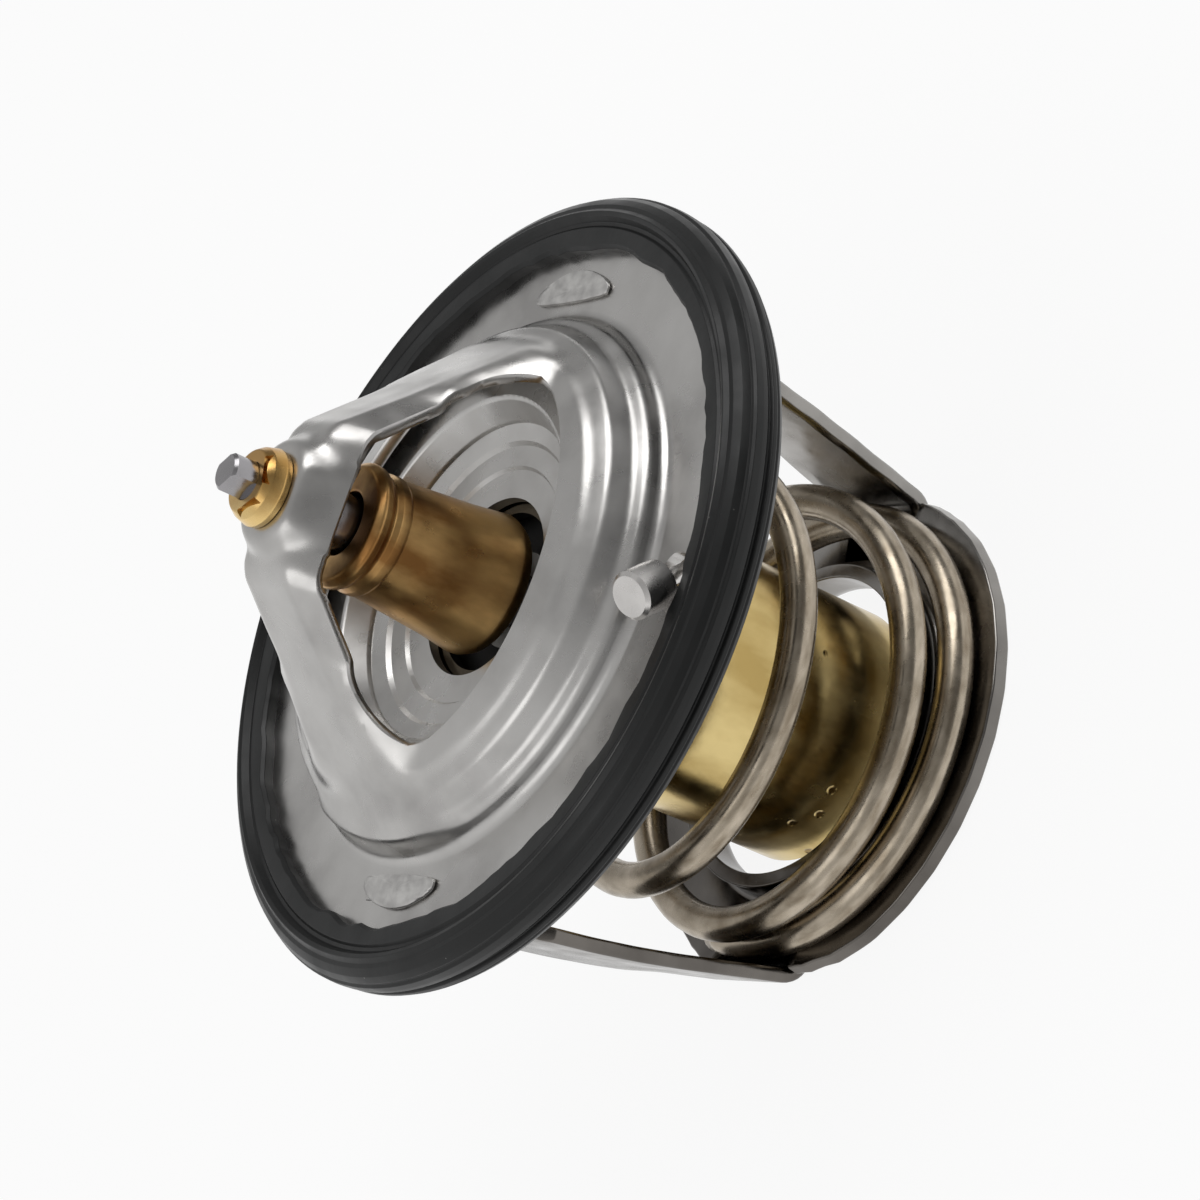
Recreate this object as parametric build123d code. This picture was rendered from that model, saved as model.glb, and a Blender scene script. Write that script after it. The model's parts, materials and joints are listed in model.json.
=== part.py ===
"""Engine thermostat insert: a wax element in a flanged seat, with its valve, spring and frame.

The thermostat stands upright on the flat base of its lower frame.
Z is the valve axis and points to the bridge, the legs of the lower frame lie along Y,
and the vent pin lies on +X.  All sizes are in millimetres.
"""
import math
import os

from build123d import *

# Sheet gauges and clearances
SEAT_SHEET = 0.9
FRAME_SHEET = 1.05
VALVE_SHEET = 0.8
RUNNING_GAP = 0.05
CUT_MARGIN = 1.0

# Heights that set the stack, from the underside of the base
GASKET_REAR_Z = 28.4
FLANGE_BOTTOM_Z = 29.9
FLANGE_TOP_Z = FLANGE_BOTTOM_Z + SEAT_SHEET
APEX_TOP_Z = 47.0
BOSS_TOP_Z = 48.2
PISTON_TIP_Z = 51.7

# Flange and dome: radius and height of the upper surface, from the rim inwards
FLANGE_RADIUS = 26.0
WINDOW_HALF_WIDTH = 13.6
WINDOW_HALF_LENGTH = 14.6
DOME_POINTS = [(FLANGE_RADIUS, FLANGE_TOP_Z), (19.1, FLANGE_TOP_Z), (18.7, 32.1), (17.9, 32.55),
               (17.25, 34.05), (16.2, 34.6), (15.7, 35.0), (12.8, 35.76)]
DOME_BEND_RADIUS = 0.9

# Bridge over the dome: distance along it and height of the upper surface, from its root inwards
BRIDGE_TURN = -6.0
BRIDGE_ROOT_RADIUS = 16.6
BRIDGE_POINTS = [(17.5, 33.4), (9.25, 42.1), (5.5, 46.4), (4.5, APEX_TOP_Z), (0, APEX_TOP_Z)]

# Sides of the bridge, which are turned down beyond a crease: distance along it and depth at the edge
BRIDGE_CREASE = 2.9
BRIDGE_HALF_WIDTH = 4.5
EDGE_DEPTHS = [(17.5, 0.4), (11.0, 0.8), (9.25, 1.4), (5.5, 1.5), (4.5, 1.0), (0, 1.0)]

# Corners between the bridge and the edge of the windows
WINDOW_CORNER_RADIUS = 2.0
BLEND_STEPS = 5
BLEND_POINTS = 5
BLEND_INSET = 0.05
BLEND_TONGUE = 0.4

# Boss drawn up in the middle of the bridge: radius and height round its section
BUSH_SHANK_RADIUS = 2.1
BOSS_UNDER_Z = BOSS_TOP_Z - SEAT_SHEET
BOSS_FOOT_Z = 45.95
BOSS_FOOT_RADIUS = 4.5
BOSS_BORE_RADIUS = 3.5
BOSS_POINTS = [(BUSH_SHANK_RADIUS, BOSS_TOP_Z), (3.3, BOSS_TOP_Z), (3.75, 47.95), (BOSS_FOOT_RADIUS, 46.3),
               (BOSS_FOOT_RADIUS, BOSS_FOOT_Z), (BOSS_BORE_RADIUS, BOSS_FOOT_Z), (2.95, BOSS_UNDER_Z),
               (BUSH_SHANK_RADIUS, BOSS_UNDER_Z)]

# Moulded gasket round the flange's rim: distance outside the rim and height round its section
GASKET_OUTLINE = [(-2.0, FLANGE_TOP_Z), (-2.1, 31.75), (-1.9, 31.85), (-0.55, 32.0), (-0.3, 31.85),
                  (-0.05, 32.0), (0.3, 32.27), (0.75, 31.98), (1.5, 31.52), (1.9, 30.8), (2.0, 30.5),
                  (2.0, 29.9), (1.85, 29.75), (1.6, 29.62), (1.6, 29.45), (1.85, 29.3), (1.8, 28.8),
                  (1.5, GASKET_REAR_Z), (0.6, GASKET_REAR_Z), (0.3, 28.65), (-1.6, 28.65), (-2.0, 29.0),
                  (-2.0, FLANGE_BOTTOM_Z), (0, FLANGE_BOTTOM_Z), (0, FLANGE_TOP_Z)]

# Main spring: wire and coil radii, with turns counted from the side of the near angle
SPRING_WIRE = 2.5
SPRING_BASE_RADIUS = 15.45
SPRING_TOP_RADIUS = 13.9
SPRING_NEAR_ANGLE = -15.0
SPRING_START_TURN = -0.25
SPRING_END_TURN = 4.55
SPRING_SECOND_Z = 5.6
SPRING_PITCH = 9.2
SPRING_TAPER_TURNS = 3
SPRING_SEAT_GAP = 0.04
SPRING_STEPS_PER_TURN = 16

# Lower frame, whose legs stand just outside the spring
COLLAR_BORE_RADIUS = 10.9
COLLAR_TOP_Z = 3.7
COLLAR_BEND_RADIUS = 1.8
LEG_WIDTH = 8.4
LEG_CLEARANCE = 0.15
LEG_HEEL_REACH = SPRING_BASE_RADIUS + SPRING_WIRE / 2 + LEG_CLEARANCE
LEG_HEEL_RADIUS = 1.15
LEG_KNEE = (LEG_HEEL_REACH + 1.65, 8.9)
LEG_TOP_REACH = FLANGE_RADIUS - 5.1
TAB_WIDTH = 7.0
TAB_CUT_SIZE = 10.0
TAB_CLEARANCE = 0.15
TAB_HEAD_LENGTH = 8.4
TAB_HEAD_WIDTH = 2.3
TAB_HEAD_HEIGHT = 0.3
BASE_RADIUS = LEG_HEEL_REACH + LEG_HEEL_RADIUS
NOTCH_WIDTH = 0.8
NOTCH_DEPTH = 1.2

# Wax element
CUP_RADIUS = 9.25
CUP_BOTTOM_Z = 0.3
CUP_SHOULDER_Z = 26.5
CUP_NECK_RADIUS = 6.9
CUP_NECK_TOP_Z = 29.8
CUP_MOUTH_RADIUS = 5.6
CUP_WALL = 0.8
CUP_END_ROUND = 1.2
CUP_SHOULDER_ROUND = 0.4
GUIDE_FLANGE_RADIUS = CUP_NECK_RADIUS - CUP_WALL
GUIDE_MOUTH_BEVEL = 0.4
GUIDE_POINTS = [(5.1, 30.4), (4.95, 32.0), (4.75, 34.0), (4.4, 37.0), (4.05, 40.1),
                (3.7, 40.7), (3.65, 41.0), (4.05, 41.3), (4.3, 41.6), (4.3, 42.0), (4.0, 42.3)]
WASHER_HEIGHT = 1.2
WASHER_RADIUS = 3.4
SLEEVE_RADIUS = 3.7
SLEEVE_TOP_Z = 28.2
SLEEVE_FLANGE = 0.8
SLEEVE_BOTTOM_Z = 9.0
SLEEVE_END = 1.6

# Piston and its bush
PISTON_RADIUS = 1.9
PISTON_BEVEL = 0.4
PISTON_BOTTOM_Z = 11.5
STUD_RADIUS = 1.3
STUD_BEVEL = 0.2
STUD_FLAT_HALF = 0.9
STUD_FLAT_TURN = -60.0
STUD_FLAT_BOTTOM_Z = 49.9
BUSH_RIVET_RADIUS = 2.6
BUSH_RIVET_HEIGHT = 0.5
BUSH_BOTTOM_Z = BOSS_UNDER_Z - BUSH_RIVET_HEIGHT
BUSH_POINTS = [(BUSH_SHANK_RADIUS, BOSS_TOP_Z), (2.65, BOSS_TOP_Z), (2.65, 48.6), (2.45, 49.4), (2.15, 49.9)]
STAKE_TURNS = (20.0, -65.0)
STAKE_WIDTH = 2.0
STAKE_DEPTH = 0.35

# Valve disc and its hub
HUB_RADIUS = 11.2
HUB_POINTS = [(6.3, 30.0), (6.3, 30.75), (8.25, 30.85), (8.45, 31.1), (9.85, 31.2), (10.1, 31.5),
              (HUB_RADIUS, 31.9), (HUB_RADIUS, 31.1), (8.7, 30.0), (8.7, CUP_SHOULDER_Z),
              (CUP_NECK_RADIUS, CUP_SHOULDER_Z), (CUP_NECK_RADIUS, 30.0)]
VALVE_POINTS = [(16.3, 33.1), (15.5, 33.8), (12.25, 33.8), (HUB_RADIUS, 32.15), (HUB_RADIUS, 30.3)]
VALVE_BEND_RADIUS = 0.4

# Vent pin, which leans in its hole at rest
VENT_REACH = FLANGE_RADIUS - 4.2
VENT_HOLE_RADIUS = 1.35
VENT_LEAN = 40.0
VENT_LEAN_AZIMUTH = -75.0
VENT_STEM_RADIUS = 0.6
VENT_HEAD_RADIUS = 1.6
VENT_HEAD_START = 2.05
VENT_HEAD_LENGTH = 2.7
VENT_CAP_RADIUS = 1.5
VENT_CAP_START = 2.05
VENT_CAP_LENGTH = 1.0
VENT_BEVEL = 0.25


def turned(points):
    """Ring or plug turned round the valve axis from (radius, height) corners."""
    return revolve(Plane.XZ * make_face(Polyline(*points, close=True)), axis=Axis.Z)


def sheet_below(points, bend_radius, thickness):
    """Face of bent sheet whose upper surface runs inwards through the points."""
    path = FilletPolyline(*points, radius=bend_radius)
    return make_face(offset(path, amount=thickness, side=Side.LEFT))


def height_at(points, radius):
    """Height of a profile at a radius, by straight lines between its points."""
    for (r_out, z_out), (r_in, z_in) in zip(points, points[1:]):
        if radius >= r_in or (r_in, z_in) == points[-1]:
            return z_in + (z_out - z_in) * (radius - r_in) / (r_out - r_in)


def turned_with_bridge(shape):
    """Turn a shape built along Y into the direction of the bridge."""
    return Rot(0, 0, BRIDGE_TURN) * shape


def bridge_height(along, across):
    """Height of the bridge's upper surface, which falls away beyond its creases."""
    fall = min(1, max(0, (abs(across) - BRIDGE_CREASE) / (BRIDGE_HALF_WIDTH - BRIDGE_CREASE)))
    return height_at(BRIDGE_POINTS, along) - fall * height_at(EDGE_DEPTHS, along)


def sheet_section(across, upper):
    """Section of the seat's sheet beside the valve axis, below points that run outwards along Y."""
    lower = []
    for index, (along, height) in enumerate(upper):
        before = upper[max(0, index - 1)]
        after = upper[min(len(upper) - 1, index + 1)]
        run, rise = after[0] - before[0], after[1] - before[1]
        share = SEAT_SHEET / math.hypot(run, rise)
        lower.append((along + rise * share, height - run * share))
    plane = Plane(origin=(across, 0, 0), x_dir=(0, 1, 0), z_dir=(1, 0, 0))
    return plane * make_face(Polyline(*upper, *reversed(lower), close=True))


def bridge_section(across):
    """Section of the bridge from root to root."""
    stops = sorted({along for along, _ in BRIDGE_POINTS + EDGE_DEPTHS})
    stops = [-along for along in reversed(stops[1:])] + stops
    return sheet_section(across, [(along, bridge_height(abs(along), across)) for along in stops])


def blend_section(offset_from_leg):
    """Section beside a bridge leg, part way between the leg's and the dome's surface."""
    across = BRIDGE_HALF_WIDTH + offset_from_leg
    turned_in = min(WINDOW_CORNER_RADIUS, max(0, offset_from_leg))
    share = 0.5 + 0.5 * math.cos(math.pi * turned_in / WINDOW_CORNER_RADIUS)
    beside = (BRIDGE_HALF_WIDTH + WINDOW_CORNER_RADIUS) / WINDOW_HALF_WIDTH
    edge = WINDOW_HALF_LENGTH * math.sqrt(1 - beside ** 2)
    rise = math.sqrt(WINDOW_CORNER_RADIUS ** 2 - (WINDOW_CORNER_RADIUS - turned_in) ** 2)
    start = edge - WINDOW_CORNER_RADIUS + rise + BLEND_INSET
    end = math.sqrt((BRIDGE_ROOT_RADIUS + BLEND_TONGUE) ** 2 - across ** 2)
    upper = []
    for step in range(BLEND_POINTS):
        along = start + (end - start) * step / (BLEND_POINTS - 1)
        dome = height_at(DOME_POINTS, math.hypot(along, across))
        leg = bridge_height(along, across)
        upper.append((along, dome + (leg - dome) * share - BLEND_INSET))
    return sheet_section(across, upper)


def seat_bridge():
    """Flange, dome and bridge stamped from one sheet, with slots and the vent hole."""
    dome = revolve(Plane.XZ * sheet_below(DOME_POINTS, DOME_BEND_RADIUS, SEAT_SHEET), axis=Axis.Z)
    height = BOSS_TOP_Z + CUT_MARGIN
    root = extrude(Circle(BRIDGE_ROOT_RADIUS), height)
    wide = 2 * (BRIDGE_HALF_WIDTH + WINDOW_CORNER_RADIUS)
    cleared = extrude(Rectangle(wide, 4 * BRIDGE_ROOT_RADIUS), height) & root
    cleared = cleared + extrude(Ellipse(WINDOW_HALF_WIDTH, WINDOW_HALF_LENGTH), height)
    bends = (-BRIDGE_HALF_WIDTH, -BRIDGE_CREASE, BRIDGE_CREASE, BRIDGE_HALF_WIDTH)
    strap = loft([bridge_section(across) for across in bends], ruled=True) & root
    offsets = [WINDOW_CORNER_RADIUS * step / BLEND_STEPS for step in range(BLEND_STEPS + 1)]
    offsets = [-BLEND_TONGUE] + offsets + [WINDOW_CORNER_RADIUS + BLEND_TONGUE]
    corner = loft([blend_section(offset) for offset in offsets], ruled=True)
    corners = [corner, mirror(corner, about=Plane.YZ), mirror(corner, about=Plane.XZ),
               mirror(mirror(corner, about=Plane.YZ), about=Plane.XZ)]
    bridge = strap
    for piece in corners:
        bridge = bridge + piece
    bridge = bridge - extrude(Circle(BOSS_BORE_RADIUS), height) + turned(BOSS_POINTS)
    seat = (dome - turned_with_bridge(cleared)) + turned_with_bridge(bridge)
    slot = Rectangle(TAB_WIDTH + 2 * TAB_CLEARANCE, FRAME_SHEET + 2 * TAB_CLEARANCE)
    for side in (-1, 1):
        place = Pos(0, side * (LEG_TOP_REACH + FRAME_SHEET / 2), FLANGE_BOTTOM_Z - CUT_MARGIN)
        seat = seat - place * extrude(slot, SEAT_SHEET + 2 * CUT_MARGIN)
    vent = Pos(VENT_REACH, 0, FLANGE_BOTTOM_Z - CUT_MARGIN)
    return seat - vent * extrude(Circle(VENT_HOLE_RADIUS), SEAT_SHEET + 2 * CUT_MARGIN)


def gasket():
    """Moulded ring that grips the rim of the flange."""
    return turned([(FLANGE_RADIUS + outside, height) for outside, height in GASKET_OUTLINE])


def lower_frame():
    """Base disc with a drawn collar and two bent legs, whose tabs are headed over the flange."""
    path = FilletPolyline((BASE_RADIUS, 0), (COLLAR_BORE_RADIUS, 0), (COLLAR_BORE_RADIUS, COLLAR_TOP_Z),
                          radius=COLLAR_BEND_RADIUS)
    base = revolve(Plane.XZ * make_face(offset(path, amount=FRAME_SHEET, side=Side.RIGHT)), axis=Axis.Z)
    foot_reach = COLLAR_BORE_RADIUS + FRAME_SHEET + COLLAR_BEND_RADIUS
    heel = FilletPolyline((foot_reach, FRAME_SHEET), (LEG_HEEL_REACH, FRAME_SHEET), LEG_KNEE,
                          radius=LEG_HEEL_RADIUS)
    rise = TangentArc(heel @ 1, (LEG_TOP_REACH, FLANGE_TOP_Z + TAB_HEAD_HEIGHT), tangent=heel % 1)
    profile = make_face(offset(Wire(heel.edges() + rise.edges()), amount=FRAME_SHEET, side=Side.RIGHT))
    strap = extrude(Plane.YZ * profile, LEG_WIDTH / 2, both=True)
    shoulder = Pos(0, LEG_TOP_REACH, FLANGE_BOTTOM_Z)
    upwards = (Align.CENTER, Align.CENTER, Align.MIN)
    beside = Box(2 * LEG_WIDTH, TAB_CUT_SIZE, TAB_CUT_SIZE, align=upwards)
    tab = Box(TAB_WIDTH, 2 * TAB_CUT_SIZE, 2 * TAB_CUT_SIZE, align=upwards)
    strap = strap - shoulder * (beside - tab)
    head = SlotOverall(TAB_HEAD_LENGTH, TAB_HEAD_WIDTH)
    strap = strap + Pos(0, LEG_TOP_REACH + FRAME_SHEET / 2, FLANGE_TOP_Z) * extrude(head, TAB_HEAD_HEIGHT)
    notch = Box(NOTCH_WIDTH, 2 * NOTCH_DEPTH, 4 * FRAME_SHEET)
    rim = extrude(Rectangle(LEG_WIDTH, 4 * BASE_RADIUS), 4 * FRAME_SHEET, both=True)
    rim = rim - extrude(Circle(LEG_HEEL_REACH - FRAME_SHEET - LEG_HEEL_RADIUS), 4 * FRAME_SHEET, both=True)
    base = base - rim
    for side in (-1, 1):
        for end in (-1, 1):
            place = Pos(side * (LEG_WIDTH + NOTCH_WIDTH) / 2, end * BASE_RADIUS, 0)
            base = base - place * notch
    return base + strap + mirror(strap, about=Plane.XZ)


def spring_wire_height(turn):
    """Height of the spring wire's centre at a turn counted from the near side."""
    lowest = FRAME_SHEET + SPRING_SEAT_GAP + SPRING_WIRE / 2
    highest = VALVE_POINTS[1][1] - VALVE_SHEET - SPRING_SEAT_GAP - SPRING_WIRE / 2
    closed = lowest + (SPRING_SECOND_Z - lowest) * max(0, turn)
    opened = SPRING_SECOND_Z + SPRING_PITCH * (turn - 1)
    return min(closed if turn < 1 else opened, highest)


def main_spring():
    """Coil spring between the base and the valve, with closed coils at both ends."""
    turns = SPRING_END_TURN - SPRING_START_TURN
    steps = round(turns * SPRING_STEPS_PER_TURN)
    points = []
    for step in range(steps + 1):
        turn = SPRING_START_TURN + turns * step / steps
        taper = min(1, max(0, turn) / SPRING_TAPER_TURNS)
        radius = SPRING_BASE_RADIUS + (SPRING_TOP_RADIUS - SPRING_BASE_RADIUS) * taper
        angle = math.radians(SPRING_NEAR_ANGLE + 360 * turn)
        points.append((radius * math.cos(angle), radius * math.sin(angle), spring_wire_height(turn)))
    centre_line = Spline(*points)
    start = Plane(origin=centre_line @ 0, z_dir=centre_line % 0)
    return sweep(start * Circle(SPRING_WIRE / 2), path=centre_line)


def element_cup():
    """Case of the wax element: a deep drawn cup whose neck is rolled in over the guide."""
    rolled_under = CUP_NECK_TOP_Z - CUP_WALL
    outside = [(0, CUP_BOTTOM_Z), (CUP_RADIUS - CUP_END_ROUND, CUP_BOTTOM_Z),
               (CUP_RADIUS, CUP_BOTTOM_Z + CUP_END_ROUND), (CUP_RADIUS, CUP_SHOULDER_Z - CUP_SHOULDER_ROUND),
               (CUP_RADIUS - CUP_SHOULDER_ROUND, CUP_SHOULDER_Z), (CUP_NECK_RADIUS, CUP_SHOULDER_Z),
               (CUP_NECK_RADIUS, CUP_NECK_TOP_Z), (CUP_MOUTH_RADIUS, CUP_NECK_TOP_Z)]
    mouth = [(CUP_MOUTH_RADIUS, rolled_under), (GUIDE_FLANGE_RADIUS, rolled_under)]
    return turned(outside + mouth + wax_outline()[::-1] + [(0, CUP_BOTTOM_Z + CUP_WALL)])


def wax_outline():
    """Corner points of the wall that the wax fills, from the floor up to the neck."""
    inner = CUP_RADIUS - CUP_WALL
    floor = CUP_BOTTOM_Z + CUP_WALL
    shoulder = CUP_SHOULDER_Z - CUP_WALL
    return [(inner - CUP_END_ROUND / 2, floor), (inner, floor + CUP_END_ROUND / 2), (inner, shoulder),
            (GUIDE_FLANGE_RADIUS, shoulder)]


def wax_charge():
    """Wax that fills the cup round the rubber sleeve."""
    top = SLEEVE_TOP_Z - SLEEVE_FLANGE
    middle = [(GUIDE_FLANGE_RADIUS, top), (SLEEVE_RADIUS, top), (SLEEVE_RADIUS, SLEEVE_BOTTOM_Z),
              (0, SLEEVE_BOTTOM_Z), (0, CUP_BOTTOM_Z + CUP_WALL)]
    return turned(wax_outline() + middle)


def rubber_sleeve():
    """Blind sleeve that seals the piston from the wax, with a flange under the guide."""
    bore = PISTON_RADIUS + RUNNING_GAP
    return turned([(0, SLEEVE_BOTTOM_Z), (SLEEVE_RADIUS, SLEEVE_BOTTOM_Z),
                   (SLEEVE_RADIUS, SLEEVE_TOP_Z - SLEEVE_FLANGE),
                   (GUIDE_FLANGE_RADIUS, SLEEVE_TOP_Z - SLEEVE_FLANGE), (GUIDE_FLANGE_RADIUS, SLEEVE_TOP_Z),
                   (WASHER_RADIUS, SLEEVE_TOP_Z), (WASHER_RADIUS, SLEEVE_TOP_Z - WASHER_HEIGHT),
                   (bore, SLEEVE_TOP_Z - WASHER_HEIGHT), (bore, SLEEVE_BOTTOM_Z + SLEEVE_END),
                   (0, SLEEVE_BOTTOM_Z + SLEEVE_END)])


def chafing_washer():
    """Washer that keeps the rubber away from the piston's running gap."""
    bore = PISTON_RADIUS + RUNNING_GAP
    return turned([(bore, SLEEVE_TOP_Z - WASHER_HEIGHT), (WASHER_RADIUS, SLEEVE_TOP_Z - WASHER_HEIGHT),
                   (WASHER_RADIUS, SLEEVE_TOP_Z), (bore, SLEEVE_TOP_Z)])


def element_guide():
    """Tapered guide with a necked lip, held by its flange in the cup's mouth."""
    bore = PISTON_RADIUS + RUNNING_GAP
    rolled_under = CUP_NECK_TOP_Z - CUP_WALL
    flange = [(bore, SLEEVE_TOP_Z), (GUIDE_FLANGE_RADIUS, SLEEVE_TOP_Z), (GUIDE_FLANGE_RADIUS, rolled_under),
              (GUIDE_POINTS[0][0], rolled_under)]
    mouth = [(bore + GUIDE_MOUTH_BEVEL, GUIDE_POINTS[-1][1]), (bore, GUIDE_POINTS[-1][1] - GUIDE_MOUTH_BEVEL)]
    return turned(flange + GUIDE_POINTS + mouth)


def piston():
    """Steel piston with a thinner stud, which ends in two flats above the bush."""
    shape = turned([(0, PISTON_BOTTOM_Z), (PISTON_RADIUS - PISTON_BEVEL, PISTON_BOTTOM_Z),
                    (PISTON_RADIUS, PISTON_BOTTOM_Z + PISTON_BEVEL), (PISTON_RADIUS, BUSH_BOTTOM_Z),
                    (STUD_RADIUS, BUSH_BOTTOM_Z), (STUD_RADIUS, PISTON_TIP_Z - STUD_BEVEL),
                    (STUD_RADIUS - STUD_BEVEL, PISTON_TIP_Z), (0, PISTON_TIP_Z)])
    flat = Box(STUD_RADIUS, 4 * STUD_RADIUS, PISTON_TIP_Z, align=(Align.MIN, Align.CENTER, Align.MIN))
    for turn in (STUD_FLAT_TURN, STUD_FLAT_TURN + 180):
        shape = shape - Rot(0, 0, turn) * Pos(STUD_FLAT_HALF, 0, STUD_FLAT_BOTTOM_Z) * flat
    return shape


def piston_bush():
    """Bush riveted into the boss of the bridge and staked round the piston's stud."""
    rivet = [(STUD_RADIUS, BUSH_BOTTOM_Z), (BUSH_RIVET_RADIUS, BUSH_BOTTOM_Z),
             (BUSH_RIVET_RADIUS, BOSS_UNDER_Z), (BUSH_SHANK_RADIUS, BOSS_UNDER_Z)]
    face_radius, face_z = BUSH_POINTS[-1]
    shape = turned(rivet + BUSH_POINTS + [(STUD_RADIUS, face_z)])
    chisel = Rot(0, 45, 0) * Box(STAKE_DEPTH * math.sqrt(2), STAKE_WIDTH, STAKE_DEPTH * math.sqrt(2))
    for turn in STAKE_TURNS:
        shape = shape - Rot(0, 0, turn) * Pos(face_radius, 0, face_z) * chisel
    return shape


def valve_disc():
    """Dished ring whose rim closes on the underside of the dome."""
    return revolve(Plane.XZ * sheet_below(VALVE_POINTS, VALVE_BEND_RADIUS, VALVE_SHEET), axis=Axis.Z)


def leaning(shape):
    """Place a piece of the vent pin, built upright at its pivot, leaning in the vent hole."""
    pivot = Pos(VENT_REACH, 0, (FLANGE_BOTTOM_Z + FLANGE_TOP_Z) / 2)
    return pivot * Rot(0, 0, VENT_LEAN_AZIMUTH) * Rot(0, VENT_LEAN, 0) * shape


def vent_pin():
    """Vent pin's stem with the large head above the flange."""
    head_end = VENT_HEAD_START + VENT_HEAD_LENGTH
    return leaning(turned([(0, -VENT_CAP_START - VENT_CAP_LENGTH),
                           (VENT_STEM_RADIUS, -VENT_CAP_START - VENT_CAP_LENGTH),
                           (VENT_STEM_RADIUS, VENT_HEAD_START), (VENT_HEAD_RADIUS, VENT_HEAD_START),
                           (VENT_HEAD_RADIUS, head_end - VENT_BEVEL),
                           (VENT_HEAD_RADIUS - VENT_BEVEL, head_end), (0, head_end)]))


def vent_cap():
    """Small head pressed on the lower end of the vent pin."""
    low = -VENT_CAP_START - VENT_CAP_LENGTH
    return leaning(turned([(VENT_STEM_RADIUS, -VENT_CAP_START), (VENT_STEM_RADIUS, low),
                           (VENT_CAP_RADIUS - VENT_BEVEL, low), (VENT_CAP_RADIUS, low + VENT_BEVEL),
                           (VENT_CAP_RADIUS, -VENT_CAP_START)]))


PIECES = {
    "seat_bridge": seat_bridge,
    "gasket": gasket,
    "lower_frame": lower_frame,
    "main_spring": main_spring,
    "piston": piston,
    "piston_bush": piston_bush,
    "valve_disc": valve_disc,
    "valve_hub": lambda: turned(HUB_POINTS),
    "element_cup": element_cup,
    "element_guide": element_guide,
    "chafing_washer": chafing_washer,
    "rubber_sleeve": rubber_sleeve,
    "wax_charge": wax_charge,
    "vent_pin": vent_pin,
    "vent_cap": vent_cap,
}

os.makedirs("parts", exist_ok=True)
for name, make in PIECES.items():
    export_step(make(), f"parts/{name}.step")
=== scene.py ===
"""Looks of an engine thermostat: sheet steel, rubber, brass and spring wire, with its camera and lights."""

import json
import math

import bmesh
import bpy
import numpy as np
from mathutils import Matrix, Vector, noise


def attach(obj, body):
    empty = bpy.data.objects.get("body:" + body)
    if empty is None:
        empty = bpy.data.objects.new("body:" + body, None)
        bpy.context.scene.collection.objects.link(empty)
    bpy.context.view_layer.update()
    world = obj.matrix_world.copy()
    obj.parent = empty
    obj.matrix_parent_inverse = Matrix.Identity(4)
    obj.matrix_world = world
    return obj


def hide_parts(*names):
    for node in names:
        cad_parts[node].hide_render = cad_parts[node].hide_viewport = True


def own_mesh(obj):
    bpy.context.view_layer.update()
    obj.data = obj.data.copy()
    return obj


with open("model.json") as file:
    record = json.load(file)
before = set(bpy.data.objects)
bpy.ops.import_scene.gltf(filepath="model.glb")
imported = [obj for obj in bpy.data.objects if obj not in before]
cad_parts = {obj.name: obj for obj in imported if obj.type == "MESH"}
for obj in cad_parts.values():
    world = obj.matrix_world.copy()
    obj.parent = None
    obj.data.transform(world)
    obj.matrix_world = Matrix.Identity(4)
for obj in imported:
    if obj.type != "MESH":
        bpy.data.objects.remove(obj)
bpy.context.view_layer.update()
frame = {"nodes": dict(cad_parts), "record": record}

MM = 0.001

# Sizes in millimetres that the part's source has too
SEAT_SHEET = 0.9
FRAME_SHEET = 1.05
VALVE_SHEET = 0.8
FLANGE_BOTTOM_Z = 29.9
FLANGE_TOP_Z = FLANGE_BOTTOM_Z + SEAT_SHEET
VALVE_TOP_Z = 33.8
APEX_TOP_Z = 47.0
BOSS_TOP_Z = 48.2
FLANGE_RADIUS = 26.0
DOME_POINTS = [(FLANGE_RADIUS, FLANGE_TOP_Z), (19.1, FLANGE_TOP_Z), (18.7, 32.1), (17.9, 32.55),
               (17.25, 34.05), (16.2, 34.6), (15.7, 35.0), (9.0, 36.75)]
DOME_BEND_RADIUS = 0.9
WINDOW_HALF_WIDTH = 13.6
WINDOW_CORNER_RADIUS = 2.0
BRIDGE_TURN = -6.0
BRIDGE_HALF_WIDTH = 4.5
BRIDGE_ROOT_RADIUS = 16.6
BRIDGE_POINTS = [(17.5, 33.4), (9.25, 42.1), (5.5, 46.4), (4.5, APEX_TOP_Z), (0, APEX_TOP_Z)]
VENT_REACH = FLANGE_RADIUS - 4.2
VENT_HOLE_RADIUS = 1.35
SPRING_WIRE = 2.5
SPRING_BASE_RADIUS = 15.45
SPRING_TOP_RADIUS = 13.9
SPRING_NEAR_ANGLE = -15.0
SPRING_START_TURN = -0.25
SPRING_END_TURN = 4.55
SPRING_SECOND_Z = 5.6
SPRING_PITCH = 9.2
SPRING_TAPER_TURNS = 3
SPRING_SEAT_GAP = 0.04
COLLAR_BORE_RADIUS = 10.9
COLLAR_TOP_Z = 3.7
COLLAR_BEND_RADIUS = 1.8
LEG_WIDTH = 8.4
LEG_CLEARANCE = 0.15
LEG_HEEL_REACH = SPRING_BASE_RADIUS + SPRING_WIRE / 2 + LEG_CLEARANCE
LEG_HEEL_RADIUS = 1.15
LEG_KNEE = (LEG_HEEL_REACH + 1.65, 8.9)
LEG_TOP_REACH = FLANGE_RADIUS - 5.1
TAB_WIDTH = 7.0
TAB_HEAD_HEIGHT = 0.3
BASE_RADIUS = LEG_HEEL_REACH + LEG_HEEL_RADIUS
BUSH_HOLE_RADIUS = 2.1
BUSH_BOTTOM_Z = 46.8
STUD_RADIUS = 1.3
STAKE_TURNS = (20.0, -65.0)

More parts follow.
